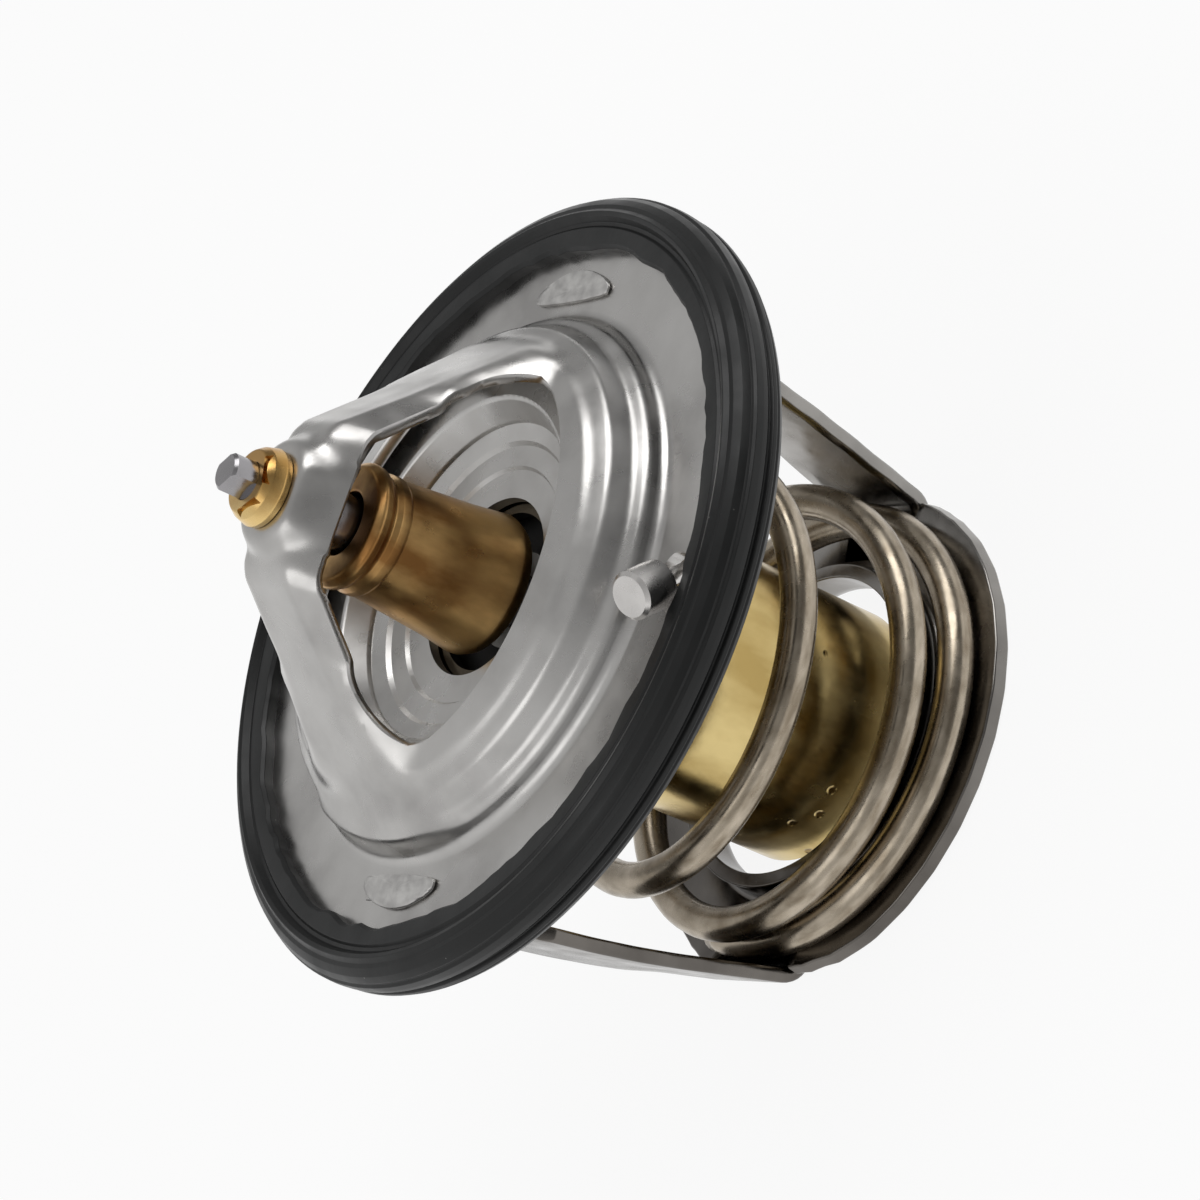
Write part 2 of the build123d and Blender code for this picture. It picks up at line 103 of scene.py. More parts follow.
# Bridge: half width of its top and depth of its turned down sides, each at a distance from the axis
BRIDGE_CREASES = [(14.0, 2.9), (9.0, 2.7), (5.2, 2.3), (2.2, 3.0), (0, 3.0), (-2.5, 2.8), (-5.0, 2.6),
                  (-8.0, 2.9)]
EDGE_DEPTHS = [(17.5, 0.0), (12.0, 0.1), (10.2, 0.55), (9.0, 1.3), (5.5, 1.5), (4.5, 1.65), (0, 1.7)]
BRIDGE_BEND_RADIUS = 1.6
CREASE_ROUNDING = 0.5
EDGE_OVERSHOOT = 1.25

# Boss in the apex of the bridge, and the steep side walls that cut it off
BOSS_FOOT_RADIUS = 5.4
BOSS_POINTS = [(BOSS_FOOT_RADIUS, 44.0), (4.5, 46.3), (3.75, 47.95), (3.3, BOSS_TOP_Z), (0, BOSS_TOP_Z)]
BOSS_BEND_RADIUS = 0.5
BOSS_SOFTNESS = 0.6
SIDE_WALL_START = 3.45
SIDE_WALL_TOP_Z = APEX_TOP_Z + 0.5
SIDE_WALL_SLOPE = 2.2
SIDE_WALL_SOFTNESS = 0.3
BOSS_SMOOTH_RADIUS = 6.0
BOSS_SMOOTH_FADE = 1.2
BOSS_SMOOTH_SHARE = 0.6
BOSS_SMOOTH_PASSES = 3

# Roots of the bridge: the stretch where a leg widens and softens into the dome
ROOT_START = 9.0
ROOT_LENGTH = 3.0
ROOT_NARROWING = 1.2
ROOT_SOFTENING = 2.4
ROOT_BLEND_START = BRIDGE_ROOT_RADIUS - 1.2
ROOT_BLEND_LENGTH = 1.6

# Profile of the dome where the lower leg of the bridge runs out over its outer step
LOWER_ROOT_POINTS = [(FLANGE_RADIUS, FLANGE_TOP_Z), (19.15, FLANGE_TOP_Z), (18.55, 33.0), (17.6, 33.75),
                     (16.2, 34.6), (15.7, 35.0), (9.0, 36.75)]
LOWER_ROOT_RADIUS = BRIDGE_ROOT_RADIUS - 0.5
LOWER_ROOT_HALF_WIDTH = 6.0
LOWER_ROOT_FADE = 4.5

# Half length of the windows toward the lower and the upper leg
WINDOW_HALF_LENGTHS = (14.3, 14.9)

# Border of the sheet, rounded outward
WALL_BULGE = 0.14
WALL_INSET = 0.18
BORDER_SMOOTH_PASSES = 3

# Slots for the tabs, which lie hidden under the tab heads
SLOT_LENGTH = 6.4
SLOT_WIDTH = 1.15

# Rim of the base disc: notched at the legs, lifted and trimmed in waves of (count, depth, phase)
RIM_NOTCH_RADIUS = 15.5
RIM_NOTCH_MARGIN = 0.1
RIM_LIFT_START = 14.8
RIM_LIFT_LENGTH = 3.0
RIM_LIFT = 0.12
RIM_LIFT_AT_LEG = 0.55
RIM_LEG_REACH = 6.5
RIM_LIFT_WAVES = [(9, 0.225, 0.6), (23, 0.162, 0.0), (31, 0.1, 0.0)]
RIM_TRIM_START = 17.0
RIM_TRIM_LENGTH = 1.0
RIM_TRIM_WAVES = [(17, 0.06, 0.0)]
RIM_TRIM_WAVES_AT_LEG = [(29, 0.12, 1.0)]

# Legs: section as (share of the half width, depth in the sheet), the shoulder and the bent far edge
LEG_SECTION = [(-1.0, 0.3), (-0.96, 0.08), (-0.9, 0.0), (-0.62, 0.0), (-0.45, 0.0), (0.0, 0.0),
               (0.45, 0.0), (0.78, 0.0), (0.86, 0.0), (0.9, 0.14), (0.925, 0.16), (0.945, 0.03),
               (0.975, 0.06), (1.0, 0.25), (1.0, FRAME_SHEET - 0.25), (0.97, FRAME_SHEET - 0.04),
               (0.92, FRAME_SHEET), (0.0, FRAME_SHEET), (-0.92, FRAME_SHEET), (-0.97, FRAME_SHEET - 0.06),
               (-1.0, FRAME_SHEET - 0.3)]
LEG_FOOT_REACH = 13.2
LEG_SHOULDER_Z = 20.8
LEG_SHOULDER_LENGTH = 0.5
LEG_WAVE_DEPTH = 0.05
LEG_WAVES_PER_MM = 1.7
LEG_BEND_Z = 6.0
LEG_BEND_LENGTH = 4.0
LEG_BEND_SHARE = 0.45
LEG_BEND_INSIDE = 0.55
LEG_BEND_OUTSIDE = 0.35
TAB_END_DROP = 0.25

# Tab heads: crescents peened over the flange, rough in waves of (fineness, seed, depth)
HEAD_TOP_Z = FLANGE_TOP_Z + TAB_HEAD_HEIGHT
HEAD_MIDDLE_X = 0.62
HEAD_HALF_LENGTH = 4.25
HEAD_INNER_REACH = 20.25
HEAD_OUTER_REACH = 22.6
HEAD_INNER_BOW = 0.2
HEAD_OUTER_BOW = 1.0
HEAD_CORNER_POWER = 0.55
HEAD_CORE_SHIFT = 0.3
HEAD_FOOT_SCALE = 0.94
HEAD_CREST_SCALE = 0.97
HEAD_RAGGEDNESS = 0.05
HEAD_WALL_HEIGHTS = (-0.1, 0.04, 0.12)
HEAD_EDGE_DROP = 0.04
HEAD_CREST_RISE = 0.03
HEAD_ROUGHNESS = [(1.6, 7, 0.06), (5, 3, 0.04)]

# Turned outlines of the gasket, the guide and the bush, as (radius, height), and their corner radii
GASKET_INNER_RADIUS = 24.0
GASKET_OUTLINE = [(GASKET_INNER_RADIUS, FLANGE_TOP_Z - 0.05), (23.9, 31.6), (24.15, 31.85), (25.3, 31.92),
                  (25.5, 31.72), (25.75, 31.75), (26.05, 32.2), (26.35, 32.3), (26.65, 31.98),
                  (26.95, 31.95), (27.45, 31.6), (27.75, 31.15), (27.72, 30.95), (27.95, 30.8), (28.0, 30.3),
                  (27.98, 29.95), (27.7, 29.8), (27.62, 29.55), (27.9, 29.4), (27.92, 29.1), (27.72, 29.0),
                  (27.78, 28.8), (27.5, 28.4), (26.6, 28.4), (26.3, 28.65), (24.4, 28.65),
                  (GASKET_INNER_RADIUS, 29.0), (GASKET_INNER_RADIUS, FLANGE_BOTTOM_Z + 0.05)]
GASKET_CORNER_RADIUS = 0.1
TORN_LIP_RADIUS = 25.0
TORN_LIP_DEPTHS = (0.36, 0.14)
GUIDE_OUTLINE = [(2.2, 42.45), (3.95, 42.45), (4.4, 42.0), (4.33, 41.45), (3.98, 41.0), (4.2, 40.5),
                 (4.22, 39.95), (4.12, 39.75), (4.27, 38.0), (4.62, 34.0), (5.0, 31.2), (4.6, 30.3),
                 (2.2, 30.3)]
GUIDE_CORNER_RADII = [0.25, 0.45, 0.4, 0.3, 0.3, 0.12, 0.08, 0.08, 1.5, 1.5, 0.5, 0.3, 0.2]
BUSH_OUTLINE = [(STUD_RADIUS, 49.95), (2.15, 49.95), (2.5, 49.45), (2.72, 48.7), (2.65, BOSS_TOP_Z + 0.02),
                (2.05, BOSS_TOP_Z + 0.02), (2.05, 47.3), (2.6, 47.3), (2.6, BUSH_BOTTOM_Z),
                (STUD_RADIUS, BUSH_BOTTOM_Z)]
BUSH_CORNER_RADII = [0.12, 0.22, 0.35, 0.3, 0.1, 0.02, 0.02, 0.05, 0.1, 0.05]
STAKE_CORNERS = [(1.75, -0.95), (2.15, -1.1), (2.2, 1.1), (1.8, 0.95)]
STAKE_BOTTOM_Z = 49.55
STAKE_TOP_Z = 50.5
CUT_MARGIN = 1.0

# Camera place in millimetres, and the directions to the right of and up its picture
EYE = Vector((250.55, -67.14, 178.55)) * MM
RIGHT = Vector((0.5634, 0.2702, -0.7808))
UP = Vector((0.0393, 0.9352, 0.352))
BACK = RIGHT.cross(UP).normalized()
UP = BACK.cross(RIGHT).normalized()
LENS = 135
FILM_WIDTH = 36

# Middle of the thermostat, at which the lamps aim
LAMP_TARGET = Vector((0, 0, 26)) * MM

# Floor in metres, and how far it is plain white where it is seen
FLOOR_REACH = 3.0
FLOOR_GREY = 0.9
FLOOR_ROUGHNESS = 0.9
FLOOR_WHITE_SHARE = 0.9

# Surrounding: the direction of its light side, and its ends as (share of that direction, grey)
SKY_TOWARD = -RIGHT * 0.65 - UP * 0.75 - BACK * 0.1
SKY_DARK = (-0.7, 0.18)
SKY_LIGHT = (0.87, 0.75)

# Distances under which points count as one, in millimetres and, for merging, in metres
TOLERANCE = 1e-6
MERGE_DISTANCE = 1e-7

# Mesh fineness: counts of steps, the turn of an arc's step and the width of a ring
LATHE_SEGMENTS = 192
ARC_STEP = math.radians(12)
STRAP_STEPS = 18
STRAP_ROWS = 88
CORNER_STEPS = 14
WINDOW_STEPS = 60
EDGE_ROWS = 16
RING_STEP = 0.5
RING_MARGIN = 0.05
LEG_CURVE_STEPS = 44
LEG_STRAIGHT_STEPS = 8
HEAD_STEPS = 40
HEAD_RINGS = 7
SPRING_STEPS = 480
WIRE_STEPS = 20
SPRING_SMOOTH_STEPS = 11


def smooth_step(share):
    """Soft rise from 0 to 1."""
    share = min(1.0, max(0.0, share))
    return share * share * (3 - 2 * share)


def arc_points(centre, start, end, steps=None):
    """Points on the shorter arc round a centre, from one point to another."""
    first = start - centre
    turn = first.angle_signed(end - centre)
    steps = steps or max(2, int(abs(turn) / ARC_STEP) + 1)
    points = []
    for step in range(steps + 1):
        angle = -turn * step / steps
        points.append(centre + Vector((first.x * math.cos(angle) - first.y * math.sin(angle),
                                       first.x * math.sin(angle) + first.y * math.cos(angle))))
    return points


def rounded_path(points, radii):
    """Polyline through the points with its inner corners rounded by arcs."""
    if not isinstance(radii, (list, tuple)):
        radii = [radii] * len(points)
    nearly_straight = math.radians(89)
    most_of_a_side = 0.49
    path = [Vector(points[0])]
    for before, corner, after, radius in zip(points, points[1:], points[2:], radii[1:]):
        before, corner, after = Vector(before), Vector(corner), Vector(after)
        inward = (before - corner).normalized()
        outward = (after - corner).normalized()
        half = inward.angle(outward) / 2
        if radius <= 0 or half > nearly_straight:
            path.append(corner)
            continue
        reach = radius / math.tan(half)
        limit = most_of_a_side * min((before - corner).length, (after - corner).length)
        if reach > limit:
            radius *= limit / reach
            reach = limit
        centre = corner + (inward + outward).normalized() * (radius / math.sin(half))
        path += arc_points(centre, corner + inward * reach, corner + outward * reach)
    path.append(Vector(points[-1]))
    return path


def loft_faces(rows, count):
    """Faces between rows of points round a closed section, with a cap at each end."""
    faces = []
    for row in range(rows - 1):
        for k in range(count):
            after = (k + 1) % count
            faces.append((row * count + k, row * count + after,
                          (row + 1) * count + after, (row + 1) * count + k))
    faces.append(tuple(range(count)))
    faces.append(tuple((rows - 1) * count + k for k in range(count)))
    return faces


def new_piece(name, node, body, vertices, faces):
    """Mesh object from millimetre vertices that rides on a body in place of a CAD node."""
    mesh = bpy.data.meshes.new(name)
    mesh.from_pydata([tuple(c * MM for c in vertex) for vertex in vertices], [], faces)
    work = bmesh.new()
    work.from_mesh(mesh)
    bmesh.ops.remove_doubles(work, verts=work.verts, dist=MERGE_DISTANCE)
    bmesh.ops.recalc_face_normals(work, faces=work.faces)
    work.to_mesh(mesh)
    work.free()
    for polygon in mesh.polygons:
        polygon.use_smooth = True
    piece = bpy.data.objects.new(name, mesh)
    bpy.context.scene.collection.objects.link(piece)
    slot = SLOT_OF[node]
    mesh.materials.append(MATERIALS[slot])
    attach(piece, body)
    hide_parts(node)
    return piece


def lathe(points, radii, wobble=None):
    """Vertices and faces of a closed section turned round the valve axis."""
    closed = list(points) + [points[0]]
    middle = [(Vector(closed[0]) + Vector(closed[1])) / 2]
    loop = [tuple(middle[0])] + [tuple(p) for p in closed[1:]] + [tuple(middle[0])]
    if isinstance(radii, (list, tuple)):
        radii = [0] + list(radii[1:]) + [radii[0], 0]
    path = rounded_path(loop, radii)[:-1]
    vertices, faces = [], []
    for index in range(LATHE_SEGMENTS):
        angle = 2 * math.pi * index / LATHE_SEGMENTS
        for point in path:
            radius, height = point.x, point.y
            if wobble:
                radius, height = wobble(radius, height, angle)
            vertices.append((radius * math.cos(angle), radius * math.sin(angle), height))
    count = len(path)
    for index in range(LATHE_SEGMENTS):
        here, there = index * count, ((index + 1) % LATHE_SEGMENTS) * count
        for step in range(count):
            after = (step + 1) % count
            faces.append((here + step, here + after, there + after, there + step))
    return vertices, faces


def profile_height(path):
    """Function that gives the height of a rounded profile at a radius."""
    radii = np.array([point.x for point in reversed(path)])
    heights = np.array([point.y for point in reversed(path)])
    return lambda radius: float(np.interp(radius, radii, heights))


dome_path = rounded_path(DOME_POINTS, DOME_BEND_RADIUS)
dome_height = profile_height(dome_path)
lower_root_height = profile_height(rounded_path(LOWER_ROOT_POINTS, DOME_BEND_RADIUS))
leg_height = profile_height(rounded_path(BRIDGE_POINTS, BRIDGE_BEND_RADIUS))
boss_height = profile_height(rounded_path(BOSS_POINTS, BOSS_BEND_RADIUS))
edge_depth = profile_height([Vector(point) for point in EDGE_DEPTHS])
crease_at = profile_height([Vector(point) for point in BRIDGE_CREASES])


def leg_share(along, across):
    """How far the sheet follows the bridge leg and not the dome, beside a leg; softer toward the root."""
    root = smooth_step((along - ROOT_START) / ROOT_LENGTH)
    start = BRIDGE_HALF_WIDTH - ROOT_NARROWING * root
    return 1 - smooth_step((across - start) / (WINDOW_CORNER_RADIUS + ROOT_SOFTENING * root))


def soft_max(one, other, softness):
    """Larger of two heights, with a rounded inner corner where they meet."""
    apart = abs(one - other) / softness
    return max(one, other) + (softness * (1 - apart) ** 2 / 4 if apart < 1 else 0)


def bridge_height(along, across):
    """Height of the bridge's upper surface, with its turned down sides and the boss."""
    crease = crease_at(along)
    beyond = max(0.0, across - crease + CREASE_ROUNDING / 2)
    if beyond > CREASE_ROUNDING:
        slide = beyond - CREASE_ROUNDING / 2
    else:
        slide = beyond ** 2 / (2 * CREASE_ROUNDING)
    fall = min(EDGE_OVERSHOOT, slide / (BRIDGE_HALF_WIDTH - crease))
    along = abs(along)
    height = leg_height(along) - fall * edge_depth(along)
    radius = math.hypot(along, across)
    if radius >= BOSS_FOOT_RADIUS:
        return height
    raised = soft_max(height, boss_height(radius), BOSS_SOFTNESS)
    side_wall = SIDE_WALL_TOP_Z + SIDE_WALL_SLOPE * (SIDE_WALL_START - across)
    return -soft_max(-raised, -side_wall, SIDE_WALL_SOFTNESS)


def sheet_height(x, y):
    """Height of the seat's upper surface, with the bridge along y."""
    radius = math.hypot(x, y)
    dome = dome_height(radius)
    if y < 0 and radius > LOWER_ROOT_RADIUS:
        run_out = 1 - smooth_step((abs(x) - LOWER_ROOT_HALF_WIDTH) / LOWER_ROOT_FADE)
        dome += (lower_root_height(radius) - dome) * run_out
    near = smooth_step((radius - ROOT_BLEND_START) / ROOT_BLEND_LENGTH)
    if near >= 1:
        return dome
    leg = bridge_height(y, abs(x))
    height = dome + (leg - dome) * leg_share(abs(y), abs(x))
    return height + (dome - height) * near


def window_edge(across, upper):
    """Distance along the bridge at which the window ends, at a distance across it."""
    half_length = WINDOW_HALF_LENGTHS[1 if upper else 0]
    wide = BRIDGE_HALF_WIDTH + WINDOW_CORNER_RADIUS
    if across >= wide:
        return half_length * math.sqrt(max(0.0, 1 - (across / WINDOW_HALF_WIDTH) ** 2))
    corner = half_length * math.sqrt(1 - (wide / WINDOW_HALF_WIDTH) ** 2)
    turned_in = max(0.0, across - BRIDGE_HALF_WIDTH)
    rise = math.sqrt(WINDOW_CORNER_RADIUS ** 2 - (WINDOW_CORNER_RADIUS - turned_in) ** 2)
    return corner - WINDOW_CORNER_RADIUS + rise


def grid_angles(across, first):
    """Directions of the grid lines round the seat, from their distances across the bridge."""
    quarter = [math.pi / 2 - math.asin(reach / BRIDGE_ROOT_RADIUS) for reach in across]
    quarter += [first * (1 - 2 * step / WINDOW_STEPS) for step in range(WINDOW_STEPS // 2 + 1)]
    right = quarter + [-angle for angle in reversed(quarter[:-1])]
    angles = right + [-math.pi - angle for angle in right]
    return sorted(set(round((angle + 10 * math.pi) % (2 * math.pi), 9) for angle in angles))


def smooth_boss(vertices, faces):
    """Even out the heights near the boss, where creases run across the grid."""
    near_boss = [index for index, (x, y, z) in enumerate(vertices)
                 if math.hypot(x, y) < BOSS_SMOOTH_RADIUS and abs(x) < BRIDGE_HALF_WIDTH - TOLERANCE]
    beside = {index: set() for index in near_boss}
    for face in faces:
        for index in face:
            if index in beside:
                beside[index].update(face)
    for _ in range(BOSS_SMOOTH_PASSES):
        heights = {index: sum(vertices[other][2] for other in beside[index]) / len(beside[index])
                   for index in near_boss}
        for index, height in heights.items():
            x, y, before = vertices[index]
            fade = smooth_step((BOSS_SMOOTH_RADIUS - math.hypot(x, y)) / BOSS_SMOOTH_FADE)
            vertices[index] = (x, y, before + (height - before) * BOSS_SMOOTH_SHARE * fade)


def seat_mesh():
    """Upper surface of the seat as a grid that follows the flange, windows and bridge."""
    wide = BRIDGE_HALF_WIDTH + WINDOW_CORNER_RADIUS
    across = [BRIDGE_HALF_WIDTH * step / STRAP_STEPS for step in range(STRAP_STEPS)]
    across += [BRIDGE_HALF_WIDTH + WINDOW_CORNER_RADIUS * (step / CORNER_STEPS) ** 2
               for step in range(CORNER_STEPS)]
    first = math.acos(wide / BRIDGE_ROOT_RADIUS)
    ring = [p.x for p in dome_path if p.x > BRIDGE_ROOT_RADIUS + RING_MARGIN]
    radii = []
    for outer, inner in zip(ring, ring[1:] + [BRIDGE_ROOT_RADIUS]):
        steps = max(1, math.ceil((outer - inner) / RING_STEP))
        radii += [outer + (inner - outer) * step / steps for step in range(steps)]
    radii.append(BRIDGE_ROOT_RADIUS)
    vertices, faces, found = [], [], {}

    def point(x, y):
        """Index of the surface's vertex over a place."""
        key = (round(x, 5), round(y, 5))
        if key not in found:
            found[key] = len(vertices)
            vertices.append((x, y, sheet_height(x, y)))
        return found[key]

    def inner_end(x, y):
        """Where a grid line that starts on the root ring meets the window's edge."""
        reach = abs(x)
        if reach <= wide + TOLERANCE:
            return x, math.copysign(window_edge(min(reach, wide), y > 0), y)
        angle = math.atan2(abs(y), reach) * math.acos(wide / WINDOW_HALF_WIDTH) / first
        half_length = WINDOW_HALF_LENGTHS[1 if y > 0 else 0]
        return (math.copysign(WINDOW_HALF_WIDTH * math.cos(angle), x),
                math.copysign(half_length * math.sin(angle), y))

    def fill(one, other):
        """Faces between two neighbouring grid lines."""
        for step in range(len(one) - 1):
            faces.append((one[step], one[step + 1], other[step + 1], other[step]))

    lines = []
    for angle in grid_angles(across, first):
        line = [point(r * math.cos(angle), r * math.sin(angle)) for r in radii]
        x, y = BRIDGE_ROOT_RADIUS * math.cos(angle), BRIDGE_ROOT_RADIUS * math.sin(angle)
        end_x, end_y = inner_end(x, y)
        for step in range(1, EDGE_ROWS + 1):
            share = step / EDGE_ROWS
            line.append(point(x + (end_x - x) * share, y + (end_y - y) * share))
        lines.append((line, x))
    for (here, _), (there, _) in zip(lines, lines[1:] + lines[:1]):
        fill(here, there)
    columns = sorted({round(x, 5): x for _, x in lines if abs(x) <= BRIDGE_HALF_WIDTH + TOLERANCE}.values())
    low, high = -window_edge(0, False), window_edge(0, True)
    grid = [[point(x, low + (high - low) * step / STRAP_ROWS) for step in range(STRAP_ROWS + 1)]
            for x in columns]
    for here, there in zip(grid, grid[1:]):
        fill(here, there)
    smooth_boss(vertices, faces)
    turn = math.radians(BRIDGE_TURN)
    turned = [(x * math.cos(turn) - y * math.sin(turn), x * math.sin(turn) + y * math.cos(turn), z)
              for x, y, z in vertices]
    return turned, faces


def closed_sheet(vertices, faces, thickness):
    """Give an open surface a thickness below it, with a slightly rounded wall round its borders."""
    count = len(vertices)
    normals = [Vector() for _ in vertices]
    owners = {}
    for face in faces:
        corners = [Vector(vertices[index]) for index in face]
        normal = (corners[2] - corners[0]).cross(corners[3] - corners[1])
        normal = normal if normal.z > 0 else -normal
        for index in face:
            normals[index] += normal
        for one, other in zip(face, face[1:] + face[:1]):
            owners.setdefault(frozenset((one, other)), []).append((one, other, corners))
    normals = [normal.normalized() for normal in normals]
    for _ in range(BORDER_SMOOTH_PASSES):
        sums = [normal * 2 for normal in normals]
        for edge in owners:
            one, other = tuple(edge)
            sums[one] += normals[other]
            sums[other] += normals[one]
        normals = [total.normalized() for total in sums]
    borders = [owner[0] for owner in owners.values() if len(owner) == 1]
    outward = {}
    for one, other, corners in borders:
        along = Vector(vertices[other]) - Vector(vertices[one])
        middle = (Vector(vertices[one]) + Vector(vertices[other])) / 2
        away = along.cross(normals[one]).normalized()
        away = away if away.dot(middle - sum(corners, Vector()) / 4) > 0 else -away
        for index in (one, other):
            outward[index] = outward.get(index, Vector()) + away
    for _ in range(BORDER_SMOOTH_PASSES):
        sums = {index: away.normalized() * 2 for index, away in outward.items()}
        for one, other, _corners in borders:
            sums[one] += outward[other].normalized()
            sums[other] += outward[one].normalized()
        outward = sums
    result = [Vector(vertex) for vertex in vertices]
    result += [Vector(vertex) - normal * thickness for vertex, normal in zip(vertices, normals)]
    walls = {}
    for index, away in outward.items():
        bulge = away.normalized() * WALL_BULGE
        walls[index] = (index, len(result), len(result) + 1, count + index)
        result.append(result[index] + bulge - normals[index] * WALL_INSET)
        result.append(result[count + index] + bulge + normals[index] * WALL_INSET)
    closed = list(faces) + [tuple(count + index for index in reversed(face)) for face in faces]
    for one, other, _corners in borders:
        here, there = walls[one], walls[other]
        for step in range(len(here) - 1):
            closed.append((here[step], there[step], there[step + 1], here[step + 1]))
    return [tuple(vertex) for vertex in result], closed


def round_outline(radius, x, y, steps=32):
    """Points round a circle."""
    turns = [2 * math.pi * k / steps for k in range(steps)]
    return [(x + radius * math.cos(turn), y + radius * math.sin(turn)) for turn in turns]


def box_outline(length, width, y):
    """Corner points of a rectangle whose middle lies on the Y axis."""
    return [(-length / 2, y - width / 2), (length / 2, y - width / 2),
            (length / 2, y + width / 2), (-length / 2, y + width / 2)]


def prism(outline, low, high):
    """Closed upright prism over an outline, as vertices and faces."""
    count = len(outline)
    vertices = [(x, y, low) for x, y in outline] + [(x, y, high) for x, y in outline]
    faces = [tuple(reversed(range(count))), tuple(range(count, 2 * count))]
    faces += [(k, (k + 1) % count, count + (k + 1) % count, count + k) for k in range(count)]
    return vertices, faces


def cut_out(piece, shapes):
    """Cut closed shapes out of a piece."""
    vertices, faces = joined(*shapes)
    mesh = bpy.data.meshes.new("cutter")
    mesh.from_pydata([tuple(c * MM for c in vertex) for vertex in vertices], [], faces)
    cutter = bpy.data.objects.new("cutter", mesh)
    bpy.context.scene.collection.objects.link(cutter)
    cut = piece.modifiers.new("cut", "BOOLEAN")
    cut.operation = "DIFFERENCE"
    cut.solver = "EXACT"
    cut.object = cutter
    bpy.context.view_layer.update()
    evaluated = piece.evaluated_get(bpy.context.evaluated_depsgraph_get())
    result = bpy.data.meshes.new_from_object(evaluated)
    piece.modifiers.clear()
    piece.data = result
    bpy.data.objects.remove(cutter)
    bpy.data.meshes.remove(mesh)


def joined(*shapes):
    """Vertices and faces of several shapes as one list each."""
    vertices, faces = [], []
    for shape_vertices, shape_faces in shapes:
        base = len(vertices)
        vertices += shape_vertices
        faces += [tuple(base + index for index in face) for face in shape_faces]
    return vertices, faces


def waves(terms, angle):
    """Sum of the waves round a rim at an angle."""
    return sum(depth * math.sin(count * angle + phase) for count, depth, phase in terms)


def base_rim(radius, height, angle):
    """Where a point of the base disc goes: notched at the legs, and lifted and trimmed in waves."""
    across = abs(radius * math.cos(angle))
    if across < LEG_WIDTH / 2 + RIM_NOTCH_MARGIN and radius > RIM_NOTCH_RADIUS:
        return RIM_NOTCH_RADIUS, height
    at_leg = 1 - smooth_step((across - LEG_WIDTH / 2) / RIM_LEG_REACH)
    rim = smooth_step((radius - RIM_LIFT_START) / RIM_LIFT_LENGTH)
    lift = rim * (RIM_LIFT + at_leg * (RIM_LIFT_AT_LEG + waves(RIM_LIFT_WAVES, angle)))
    trim = smooth_step((radius - RIM_TRIM_START) / RIM_TRIM_LENGTH)
    trim *= waves(RIM_TRIM_WAVES, angle) + at_leg * waves(RIM_TRIM_WAVES_AT_LEG, angle)
    return radius - abs(trim), height + max(0.0, lift)


def base_ring():
    """Base disc with its drawn collar."""
    collar_radius = COLLAR_BORE_RADIUS + FRAME_SHEET
    points = [(BASE_RADIUS, 0), (COLLAR_BORE_RADIUS, 0), (COLLAR_BORE_RADIUS, COLLAR_TOP_Z),
              (collar_radius, COLLAR_TOP_Z), (collar_radius, FRAME_SHEET), (BASE_RADIUS - 0.25, FRAME_SHEET)]
    return lathe(points, [0.22, COLLAR_BEND_RADIUS, 0.15, 0.15, 0.75, 0.2], base_rim)


def leg_path():
    """Points and outward directions up the inner face of a leg, as distance from the axis and height."""
    heel = Vector((LEG_HEEL_REACH, FRAME_SHEET))
    knee = Vector(LEG_KNEE)
    end = Vector((LEG_TOP_REACH, HEAD_TOP_Z - TAB_END_DROP))
    points = rounded_path([(LEG_FOOT_REACH, FRAME_SHEET), heel, knee], LEG_HEEL_RADIUS)[:-1]
    last = points[-1]
    points += [last.lerp(knee, step / LEG_STRAIGHT_STEPS) for step in range(1, LEG_STRAIGHT_STEPS)]
    along = (knee - heel).normalized()
    aside = Vector((along.y, -along.x))
    chord = end - knee
    centre = knee + aside * (chord.length_squared / (2 * chord.dot(aside)))
    points += arc_points(centre, knee, end, LEG_CURVE_STEPS)
    normals = []
    for before, after in zip(points[:1] + points, points[1:] + points[-1:]):
        along = (after - before).normalized()
        normals.append(Vector((along.y, -along.x)))
    return points, normals


def leg_mesh(side):
    """Sheet leg with rounded edges, a burr line beside the near edge and the far edge bent out."""
    points, normals = leg_path()
    vertices = []
    for point, normal in zip(points, normals):
        narrow = smooth_step((point.y - LEG_SHOULDER_Z) / LEG_SHOULDER_LENGTH)
        half = (LEG_WIDTH * (1 - narrow) + TAB_WIDTH * narrow) / 2
        half += LEG_WAVE_DEPTH * math.sin(point.y * LEG_WAVES_PER_MM) * (1 - narrow)
        rise = smooth_step((point.y - LEG_BEND_Z) / LEG_BEND_LENGTH) * (1 - narrow)
        for share, depth in LEG_SECTION:
            bend = LEG_BEND_INSIDE if depth < FRAME_SHEET / 2 else LEG_BEND_OUTSIDE
            bent = bend * max(0.0, -share - LEG_BEND_SHARE) * rise
            place = point + normal * (depth + bent)
            vertices.append((share * half, side * place.x, place.y))
    return vertices, loft_faces(len(points), len(LEG_SECTION))


